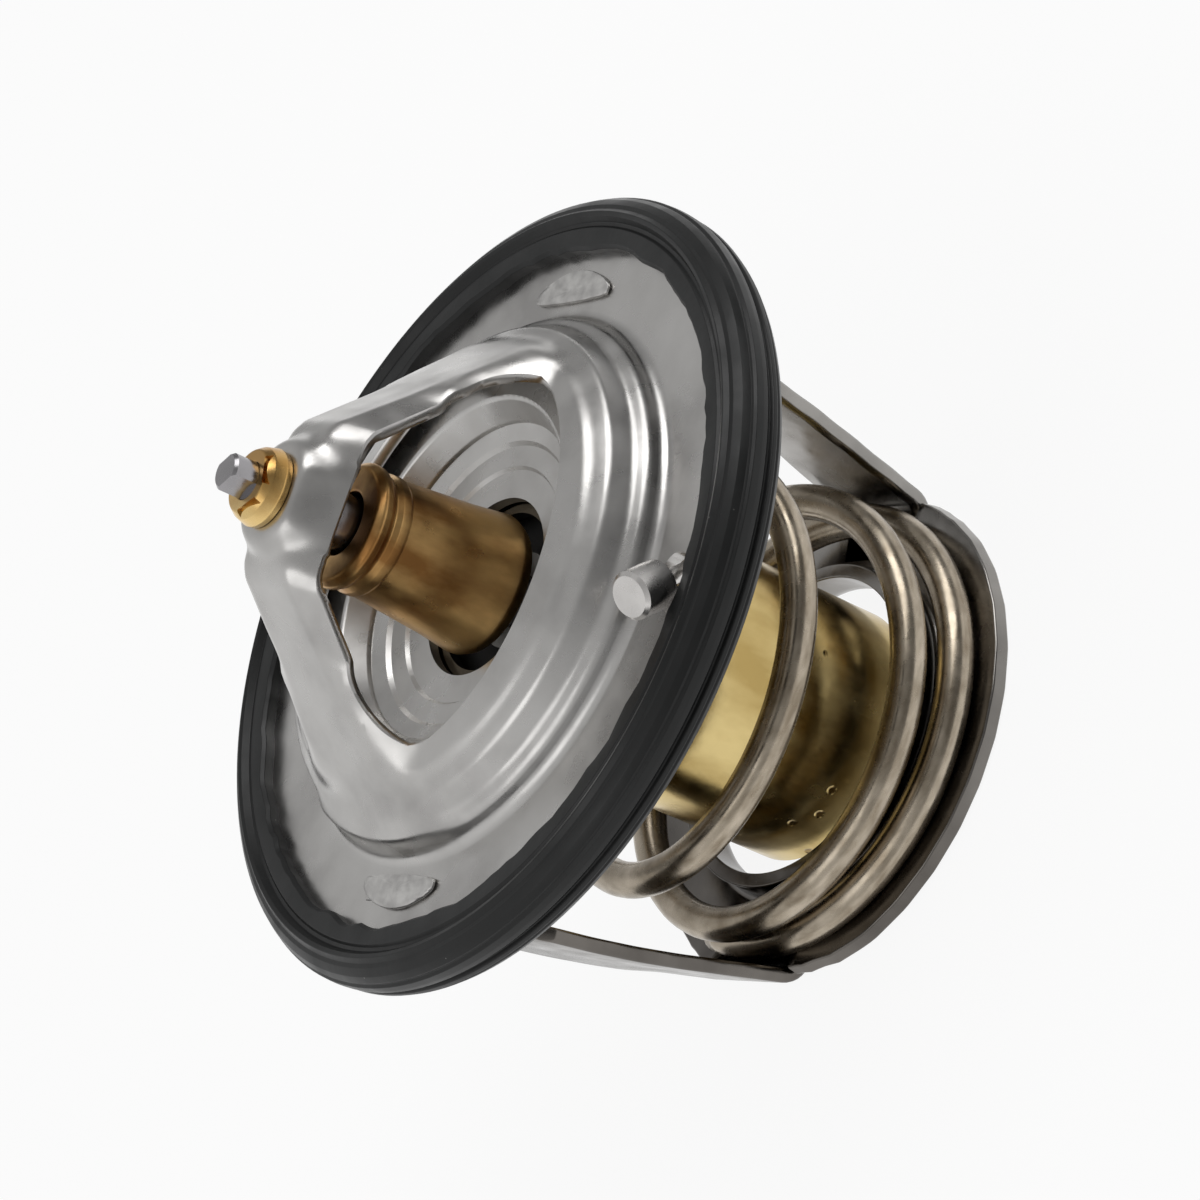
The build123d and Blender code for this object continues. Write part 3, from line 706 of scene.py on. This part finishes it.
def tab_head(side):
    """Crescent of metal peened over the flange at a tab, rough on top and undercut at its foot."""
    outline = []
    for k in range(HEAD_STEPS):
        turn = 2 * math.pi * k / HEAD_STEPS
        share = math.cos(turn)
        inner = HEAD_INNER_REACH - HEAD_INNER_BOW * share * share
        outer = HEAD_OUTER_REACH - HEAD_OUTER_BOW * share * share
        lift = math.copysign(abs(math.sin(turn)) ** HEAD_CORNER_POWER, math.sin(turn))
        ragged = HEAD_RAGGEDNESS * noise.noise(Vector((6 * share, 3 * lift, side)))
        outline.append((HEAD_MIDDLE_X + HEAD_HALF_LENGTH * share,
                        (inner + outer) / 2 + ((outer - inner) / 2 + ragged) * lift))
    core_x, core_y = HEAD_MIDDLE_X, (HEAD_INNER_REACH + HEAD_OUTER_REACH) / 2 - HEAD_CORE_SHIFT
    crest_z = HEAD_TOP_Z + HEAD_CREST_RISE
    foot, undercut, lip = (FLANGE_TOP_Z + height for height in HEAD_WALL_HEIGHTS)
    walls = [(HEAD_FOOT_SCALE, foot), (HEAD_FOOT_SCALE, undercut), (1.0, lip),
             (1.0, HEAD_TOP_Z - HEAD_EDGE_DROP)]
    top = [(HEAD_CREST_SCALE * (1 - ring / HEAD_RINGS), crest_z) for ring in range(HEAD_RINGS)]
    vertices = []
    for scale, height in walls + top:
        for x, y in outline:
            x, y = core_x + (x - core_x) * scale, core_y + (y - core_y) * scale
            rough = 0.0
            if height == crest_z:
                rough = sum(depth * noise.noise(Vector((x * fineness, y * fineness, side * seed)))
                            for fineness, seed, depth in HEAD_ROUGHNESS)
            vertices.append((x, side * y, height + rough))
    return vertices, loft_faces(len(walls + top), HEAD_STEPS)


def spring_centre(turn):
    """Centre of the spring's wire at a turn counted from the side nearest the camera."""
    lowest = FRAME_SHEET + SPRING_WIRE / 2 + SPRING_SEAT_GAP
    highest = VALVE_TOP_Z - VALVE_SHEET - SPRING_WIRE / 2 - SPRING_SEAT_GAP
    closed = lowest + (SPRING_SECOND_Z - lowest) * max(0.0, turn)
    opened = SPRING_SECOND_Z + SPRING_PITCH * (turn - 1)
    height = min(closed if turn < 1 else opened, highest)
    taper = min(1.0, max(0.0, turn) / SPRING_TAPER_TURNS)
    radius = SPRING_BASE_RADIUS + (SPRING_TOP_RADIUS - SPRING_BASE_RADIUS) * taper
    angle = math.radians(SPRING_NEAR_ANGLE + 360 * turn)
    return Vector((radius * math.cos(angle), radius * math.sin(angle), height))


def spring_mesh():
    """Tube along the spring's centre line, with flat ends."""
    turns = SPRING_END_TURN - SPRING_START_TURN
    raw = [spring_centre(SPRING_START_TURN + turns * step / SPRING_STEPS) for step in range(SPRING_STEPS + 1)]
    heights = np.array([centre.z for centre in raw])
    window = np.hanning(2 * SPRING_SMOOTH_STEPS + 1)
    padded = np.pad(heights, SPRING_SMOOTH_STEPS, mode="edge")
    soft = np.convolve(padded, window / window.sum(), mode="valid")
    centres = [Vector((centre.x, centre.y, height)) for centre, height in zip(raw, soft)]
    vertices = []
    for before, centre, after in zip(centres[:1] + centres, centres, centres[1:] + centres[-1:]):
        along = (after - before).normalized()
        outward = Vector((centre.x, centre.y, 0)).normalized()
        up = along.cross(outward).normalized()
        outward = up.cross(along).normalized()
        for k in range(WIRE_STEPS):
            angle = 2 * math.pi * k / WIRE_STEPS
            round_wire = outward * math.cos(angle) + up * math.sin(angle)
            vertices.append(tuple(centre + round_wire * (SPRING_WIRE / 2)))
    return vertices, loft_faces(len(centres), WIRE_STEPS)


class Look:
    """A material built up from nodes."""

    def __init__(self, name, color, metallic, roughness):
        self.material = bpy.data.materials.new(name)
        self.material.use_nodes = True
        self.nodes = self.material.node_tree.nodes
        self.links = self.material.node_tree.links
        self.shader = self.nodes["Principled BSDF"]
        self.shader.inputs["Base Color"].default_value = (*color, 1)
        self.shader.inputs["Metallic"].default_value = metallic
        self.shader.inputs["Roughness"].default_value = roughness
        self.place = self.nodes.new("ShaderNodeTexCoord").outputs["Object"]
        self.bumps = None

    def noise(self, scale, detail, stretch=None):
        """Noise over the piece, in object space; scale is in waves per metre."""
        place = self.place
        if stretch:
            mapping = self.nodes.new("ShaderNodeMapping")
            mapping.inputs["Scale"].default_value = stretch
            self.links.new(place, mapping.inputs["Vector"])
            place = mapping.outputs["Vector"]
        texture = self.nodes.new("ShaderNodeTexNoise")
        texture.inputs["Scale"].default_value = scale
        texture.inputs["Detail"].default_value = detail
        self.links.new(place, texture.inputs["Vector"])
        return texture.outputs["Fac"]

    def ramp(self, value, stops):
        """Colour or grey ramp over a value: stops of (position, colour or grey)."""
        node = self.nodes.new("ShaderNodeValToRGB")
        while len(node.color_ramp.elements) < len(stops):
            node.color_ramp.elements.new(0.5)
        for element, (position, color) in zip(node.color_ramp.elements, stops):
            element.position = position
            element.color = (*color, 1) if isinstance(color, tuple) else (color, color, color, 1)
        self.links.new(value, node.inputs["Fac"])
        return node.outputs["Color"]

    def cells(self, scale):
        """Distance to the nearest of scattered points; scale is in points per metre."""
        texture = self.nodes.new("ShaderNodeTexVoronoi")
        texture.inputs["Scale"].default_value = scale
        self.links.new(self.place, texture.inputs["Vector"])
        return texture.outputs["Distance"]

    def rise(self, axis, low, high):
        """0 to 1 as a coordinate of the piece goes from a low to a high value, in millimetres."""
        split = self.nodes.new("ShaderNodeSeparateXYZ")
        self.links.new(self.place, split.inputs[0])
        node = self.nodes.new("ShaderNodeMapRange")
        node.inputs["From Min"].default_value = low * MM
        node.inputs["From Max"].default_value = high * MM
        self.links.new(split.outputs[axis], node.inputs["Value"])
        return node.outputs["Result"]

    def combine(self, operation, one, other):
        """Result of an operation on two values, of which the second may be a plain number."""
        node = self.nodes.new("ShaderNodeMath")
        node.operation = operation
        self.links.new(one, node.inputs[0])
        if isinstance(other, float):
            node.inputs[1].default_value = other
        else:
            self.links.new(other, node.inputs[1])
        return node.outputs[0]

    def mix(self, share, one, other):
        """Colour between two colours or outputs."""
        node = self.nodes.new("ShaderNodeMix")
        node.data_type = "RGBA"
        self.links.new(share, node.inputs[0])
        for socket, value in ((node.inputs[6], one), (node.inputs[7], other)):
            if isinstance(value, tuple):
                socket.default_value = (*value, 1)
            else:
                self.links.new(value, socket)
        return node.outputs[2]

    def color(self, output):
        """Set the base colour."""
        self.links.new(output, self.shader.inputs["Base Color"])

    def rough(self, output):
        """Set the roughness."""
        self.links.new(output, self.shader.inputs["Roughness"])

    def bump(self, height, strength, distance):
        """Add surface relief; distance is in metres."""
        node = self.nodes.new("ShaderNodeBump")
        node.inputs["Strength"].default_value = strength
        node.inputs["Distance"].default_value = distance
        self.links.new(height, node.inputs["Height"])
        if self.bumps:
            self.links.new(self.bumps, node.inputs["Normal"])
        self.bumps = node.outputs["Normal"]
        self.links.new(self.bumps, self.shader.inputs["Normal"])


def stamped_steel():
    """Stainless sheet with a tumbled satin skin and faint smudges."""
    look = Look("stamped_steel", (0.52, 0.51, 0.495), 1.0, 0.3)
    cloud = look.noise(140, 5)
    look.color(look.ramp(cloud, [(0.3, (0.42, 0.41, 0.4)), (0.5, (0.55, 0.54, 0.525)),
                                 (0.7, (0.61, 0.6, 0.585))]))
    look.rough(look.ramp(look.noise(320, 6), [(0.3, 0.22), (0.7, 0.38)]))
    look.bump(look.noise(1100, 6), 0.25, 0.00003)
    look.bump(look.noise(180, 3), 0.3, 0.0001)
    return look.material


def frame_steel():
    """Dark polished strap steel, painted darker toward the lower leg as shade, with bright rough metal where
    the tabs are peened.
    """
    look = Look("frame_steel", (0.24, 0.23, 0.215), 1.0, 0.2)
    # Painted shade: the strap is painted darker toward the lower leg (low Y) and lighter toward the upper
    # leg, for how light falls on them.
    painted_shade_tone = look.ramp(look.noise(160, 5), [(0.3, (0.085, 0.077, 0.07)), (0.7, (0.17, 0.157, 0.143))])
    lit_side_tone = look.ramp(look.noise(160, 5), [(0.3, (0.26, 0.25, 0.235)), (0.7, (0.4, 0.385, 0.365))])
    dark = look.mix(look.rise("Y", -8, 20), painted_shade_tone, lit_side_tone)
    bright = look.ramp(look.noise(900, 6), [(0.3, (0.48, 0.47, 0.46)), (0.7, (0.72, 0.71, 0.69))])
    peened = look.rise("Z", FLANGE_TOP_Z - 0.2, FLANGE_TOP_Z - 0.1)
    look.color(look.mix(peened, dark, bright))
    smooth = look.ramp(look.noise(420, 5), [(0.3, 0.14), (0.7, 0.3)])
    look.rough(look.mix(peened, smooth, (0.42, 0.42, 0.42)))
    look.bump(look.noise(260, 4), 0.3, 0.0001)
    return look.material


def spring_steel():
    """Drawn spring wire with a warm oxide tint."""
    look = Look("spring_steel", (0.4, 0.34, 0.27), 1.0, 0.3)
    look.color(look.ramp(look.noise(420, 5, (1, 1, 3.5)), [(0.3, (0.25, 0.205, 0.15)),
                                                           (0.55, (0.4, 0.345, 0.27)),
                                                           (0.75, (0.52, 0.45, 0.36))]))
    look.rough(look.ramp(look.noise(700, 4), [(0.3, 0.2), (0.7, 0.34)]))
    look.bump(look.noise(1500, 3), 0.2, 0.00004)
    return look.material


def brass(name, dark, light, low, high, pits_and_shaded_neck):
    """Copper alloy with clouds of tarnish and, where asked, small pits and a neck painted near black as
    shade.
    """
    look = Look(name, light, 1.0, low)
    clouds = look.ramp(look.noise(230, 6, (1, 1, 0.45)), [(0.38, dark), (0.62, light)])
    look.rough(look.ramp(look.noise(500, 5), [(0.3, low), (0.7, high)]))
    look.bump(look.noise(1200, 5), 0.2, 0.00004)
    if pits_and_shaded_neck:
        # Painted shade: above 28.5 mm the case is painted near black, as the shade in the gap round the
        # guide.
        clouds = look.mix(look.rise("Z", 27.5, 28.5), clouds, (0.06, 0.045, 0.025))
        few = look.ramp(look.noise(210, 1), [(0.5, 0.0), (0.56, 1.0)])
        spots = look.combine("MULTIPLY", few, look.ramp(look.cells(420), [(0.1, 1.0), (0.16, 0.0)]))
        clouds = look.mix(spots, clouds, (0.3, 0.2, 0.07))
        look.bump(look.ramp(spots, [(0.0, 1.0), (1.0, 0.0)]), 0.6, 0.00012)
    look.color(clouds)
    return look.material


def rubber(name, color, roughness):
    """Moulded rubber with pale dust specks."""
    look = Look(name, color, 0.0, roughness)
    look.shader.inputs["Specular IOR Level"].default_value = 0.32
    specks = look.ramp(look.cells(900), [(0.03, 1.0), (0.06, 0.0)])
    thin = look.combine("MULTIPLY", specks, look.ramp(look.noise(500, 2), [(0.58, 0.0), (0.64, 1.0)]))
    look.color(look.mix(thin, color, (0.2, 0.2, 0.19)))
    look.rough(look.ramp(look.noise(300, 5), [(0.3, roughness - 0.08), (0.7, roughness + 0.1)]))
    look.bump(look.noise(1400, 4), 0.2, 0.00005)
    return look.material


def plain(name, color, metallic, low, high):
    """Small piece of one colour with uneven gloss."""
    look = Look(name, color, metallic, low)
    shade = tuple(c * 0.85 for c in color)
    look.color(look.ramp(look.noise(500, 4), [(0.3, shade), (0.7, color)]))
    look.rough(look.ramp(look.noise(700, 4), [(0.3, low), (0.7, high)]))
    return look.material


MATERIALS = {
    "stamped_steel": stamped_steel(),
    "gasket_rubber": rubber("gasket_rubber", (0.008, 0.0085, 0.0085), 0.36),
    "frame_steel": frame_steel(),
    "spring_steel": spring_steel(),
    "piston_steel": plain("piston_steel", (0.36, 0.35, 0.36), 1.0, 0.18, 0.3),
    "bush_brass": brass("bush_brass", (0.5, 0.29, 0.09), (0.78, 0.56, 0.24), 0.2, 0.32, False),
    "case_brass": brass("case_brass", (0.46, 0.33, 0.12), (0.7, 0.55, 0.25), 0.16, 0.28, True),
    "guide_bronze": brass("guide_bronze", (0.33, 0.16, 0.05), (0.9, 0.59, 0.24), 0.26, 0.42, False),
    "washer_plastic": plain("washer_plastic", (0.85, 0.85, 0.82), 0.0, 0.4, 0.5),
    "sleeve_rubber": rubber("sleeve_rubber", (0.025, 0.025, 0.025), 0.6),
    "wax": plain("wax", (0.72, 0.6, 0.4), 0.0, 0.5, 0.6),
    "pin_steel": plain("pin_steel", (0.72, 0.7, 0.68), 1.0, 0.2, 0.34),
}

SLOT_OF = {part["node"]: part["material_slot"] for part in frame["record"]["subparts"]}
for node, piece in frame["nodes"].items():
    piece.data.materials.clear()
    piece.data.materials.append(MATERIALS[SLOT_OF[node]])


def torn_lip(radius, height, angle):
    """Inner edge of the gasket, which is trimmed unevenly."""
    if radius < TORN_LIP_RADIUS and height > FLANGE_TOP_Z - 0.2:
        place = Vector((9 * math.cos(angle), 9 * math.sin(angle), 0.3))
        coarse, fine = TORN_LIP_DEPTHS
        radius += coarse * noise.noise(place) + fine * noise.noise(place * 5)
    return radius, height


def make_gasket():
    """Rubber ring moulded round the edge of the flange."""
    new_piece("gasket_ring", "gasket", "frame", *lathe(GASKET_OUTLINE, GASKET_CORNER_RADIUS, torn_lip))


def make_seat():
    """Stamped flange, dome and bridge, with holes for the vent pin, the bush and the tabs."""
    seat = new_piece("seat_sheet", "seat_bridge", "frame", *closed_sheet(*seat_mesh(), SEAT_SHEET))
    below, above = FLANGE_BOTTOM_Z - CUT_MARGIN, FLANGE_TOP_Z + CUT_MARGIN
    holes = [prism(round_outline(VENT_HOLE_RADIUS, VENT_REACH, 0), below, above),
             prism(round_outline(BUSH_HOLE_RADIUS, 0, 0), APEX_TOP_Z - CUT_MARGIN, BOSS_TOP_Z + CUT_MARGIN)]
    for side in (1, -1):
        slot = box_outline(SLOT_LENGTH, SLOT_WIDTH, side * (LEG_TOP_REACH + FRAME_SHEET / 2))
        holes.append(prism(slot, below, above))
    cut_out(seat, holes)
    seat.data.set_sharp_from_angle(angle=math.radians(38))


def make_lower_frame():
    """Base disc, the two legs and their peened tab heads."""
    shapes = joined(base_ring(), leg_mesh(1), leg_mesh(-1), tab_head(1), tab_head(-1))
    lower = new_piece("frame_strap", "lower_frame", "frame", *shapes)
    lower.data.set_sharp_from_angle(angle=math.radians(50))


def make_guide():
    """Tapered guide over the piston, with its necked lip."""
    new_piece("guide_sleeve", "element_guide", "element", *lathe(GUIDE_OUTLINE, GUIDE_CORNER_RADII))


def make_bush():
    """Riveted bush with its two stake marks."""
    bush = new_piece("bush_head", "piston_bush", "frame", *lathe(BUSH_OUTLINE, BUSH_CORNER_RADII))
    stakes = []
    for turn in STAKE_TURNS:
        angle = math.radians(turn)
        far = Vector((math.cos(angle), math.sin(angle)))
        aside = Vector((-far.y, far.x))
        corners = [tuple(far * reach + aside * shift) for reach, shift in STAKE_CORNERS]
        stakes.append(prism(corners, STAKE_BOTTOM_Z, STAKE_TOP_Z))
    cut_out(bush, stakes)
    bush.data.set_sharp_from_angle(angle=math.radians(40))


def make_spring():
    """Coil spring, in a mesh of its own; the real spring shortens as the valve opens."""
    spring = new_piece("spring_coil", "main_spring", "frame", *spring_mesh())
    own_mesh(spring)


def make_camera():
    """Camera that looks at the thermostat from above its bridge."""
    data = bpy.data.cameras.new("camera")
    data.lens = LENS
    data.sensor_width = FILM_WIDTH
    camera = bpy.data.objects.new("camera", data)
    camera.matrix_world = Matrix.Translation(EYE) @ Matrix((RIGHT, UP, BACK)).transposed().to_4x4()
    bpy.context.scene.collection.objects.link(camera)
    bpy.context.scene.camera = camera


def soft_box(name, toward, distance, size, radiance):
    """Square lamp, in metres, in a direction along the picture's right, up and toward the viewer."""
    right, up, back = toward
    direction = (RIGHT * right + UP * up + BACK * back).normalized()
    data = bpy.data.lights.new(name, "AREA")
    data.size = size
    data.energy = radiance * math.pi * size ** 2
    lamp = bpy.data.objects.new(name, data)
    lamp.location = LAMP_TARGET + direction * distance
    lamp.rotation_euler = direction.to_track_quat("Z", "Y").to_euler()
    bpy.context.scene.collection.objects.link(lamp)


def make_floor():
    """Pale floor, which is nearly white where the camera, gloss or glass sees it."""
    low, high = -FLOOR_REACH, FLOOR_REACH
    mesh = bpy.data.meshes.new("floor")
    mesh.from_pydata([(low, low, 0), (high, low, 0), (high, high, 0), (low, high, 0)], [], [(0, 1, 2, 3)])
    floor = bpy.data.objects.new("floor", mesh)
    bpy.context.scene.collection.objects.link(floor)
    look = Look("floor", (FLOOR_GREY, FLOOR_GREY, FLOOR_GREY), 0.0, FLOOR_ROUGHNESS)
    path = look.nodes.new("ShaderNodeLightPath")
    seen = look.combine("MAXIMUM", path.outputs["Is Camera Ray"], path.outputs["Is Glossy Ray"])
    seen = look.combine("MAXIMUM", seen, path.outputs["Is Transmission Ray"])
    white = look.nodes.new("ShaderNodeEmission")
    white.inputs["Strength"].default_value = 1.0
    both = look.nodes.new("ShaderNodeMixShader")
    look.links.new(look.combine("MULTIPLY", seen, FLOOR_WHITE_SHARE), both.inputs[0])
    look.links.new(look.shader.outputs[0], both.inputs[1])
    look.links.new(white.outputs[0], both.inputs[2])
    look.links.new(both.outputs[0], look.nodes["Material Output"].inputs["Surface"])
    mesh.materials.append(look.material)


def make_world():
    """Surrounding in greys, brightest low on the left of the picture."""
    world = bpy.data.worlds.new("world")
    bpy.context.scene.world = world
    world.use_nodes = True
    nodes, links = world.node_tree.nodes, world.node_tree.links
    place = nodes.new("ShaderNodeTexCoord")
    toward = nodes.new("ShaderNodeVectorMath")
    toward.operation = "DOT_PRODUCT"
    toward.inputs[1].default_value = tuple(SKY_TOWARD)
    ramp = nodes.new("ShaderNodeMapRange")
    ramp.inputs["From Min"].default_value, ramp.inputs["To Min"].default_value = SKY_DARK
    ramp.inputs["From Max"].default_value, ramp.inputs["To Max"].default_value = SKY_LIGHT
    links.new(place.outputs["Generated"], toward.inputs[0])
    links.new(toward.outputs["Value"], ramp.inputs["Value"])
    links.new(ramp.outputs["Result"], nodes["Background"].inputs["Color"])
    nodes["Background"].inputs["Strength"].default_value = 1.0


make_gasket()
make_seat()
make_lower_frame()
make_guide()
make_bush()
make_spring()
make_camera()
soft_box("key", (-0.2, 0.93, 0.3), distance=0.6, size=0.36, radiance=3.0)
soft_box("left", (-0.62, -0.3, 0.72), distance=0.7, size=0.4, radiance=1.0)
soft_box("side", (0.85, 0.3, 0.45), distance=0.7, size=0.3, radiance=1.4)
make_floor()
make_world()
bpy.context.scene.view_settings.view_transform = "Standard"
